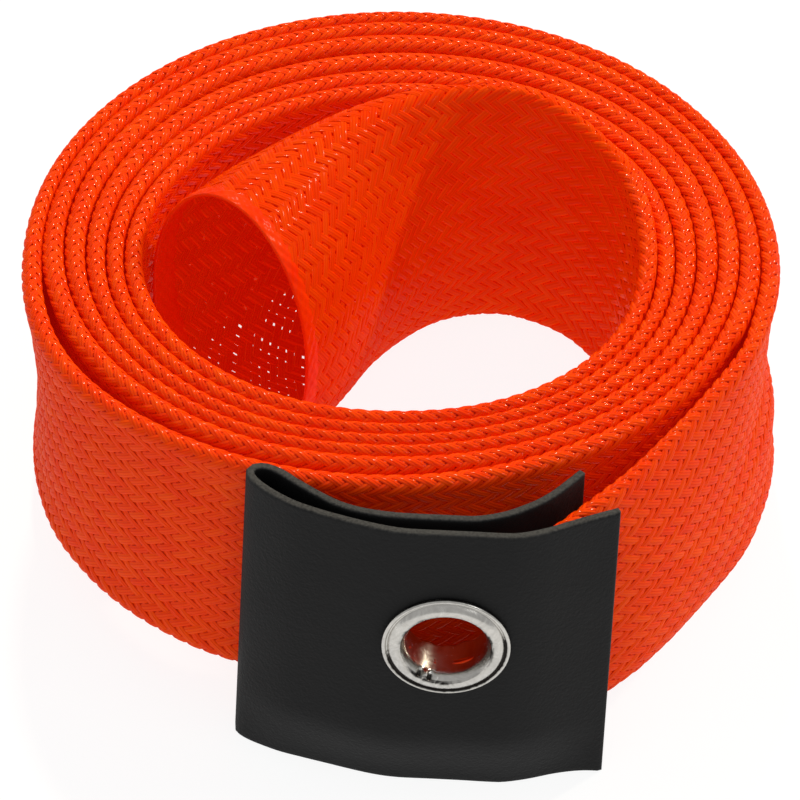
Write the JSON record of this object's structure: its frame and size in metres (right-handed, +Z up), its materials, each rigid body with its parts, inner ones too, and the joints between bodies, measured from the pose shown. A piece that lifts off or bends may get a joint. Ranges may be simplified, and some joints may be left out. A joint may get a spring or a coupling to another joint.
{
  "type": "braided rod sleeve",
  "caption": "Orange braided tubular sleeve rolled on edge into a flat coil, its flared mouth in the middle and its outer end clamped in a folded black tag with a metal eyelet.",
  "frame": {"origin": "centre of the bounding box's bottom face, on the surface the coil stands on", "axes": "+Z up; -Y towards the end tag at the front; +X to the side where the sleeve's outer end leaves the tag. The coil's own axis leans 5.4 degrees from +Z towards +Y."},
  "size_m": [0.1044, 0.1174, 0.0494],
  "materials": {
    "orange_braid": "herringbone braid of flat glossy plastic yarn",
    "orange_hem": "smooth turned-in edge of the same braid",
    "black_tag": "matt, fine grain, cut edges",
    "nickel": "plated, softly worn"
  },
  "bodies": {
    "coil": {"sleeve_coil": "orange_braid"},
    "tail": {"sleeve_tail": "orange_braid", "end_tag": "black_tag", "eyelet_barrel": "nickel", "eyelet_washer": "nickel"},
    "mouth": {"sleeve_mouth": "orange_braid", "mouth_hem": "orange_hem"}
  },
  "joints": [
    {"name": "tail_peel", "type": "hinge", "parent": "coil", "child": "tail", "pos_m": [0.0497, -0.01312, 0.02448], "axis": [0, 0.0941, 0.9956], "range_deg": [0, 75]},
    {"name": "mouth_swing", "type": "hinge", "parent": "coil", "child": "mouth", "pos_m": [0.02405, 0.0266, 0.02073], "axis": [0, 0.0941, 0.9956], "range_deg": [0, 25]}
  ]
}
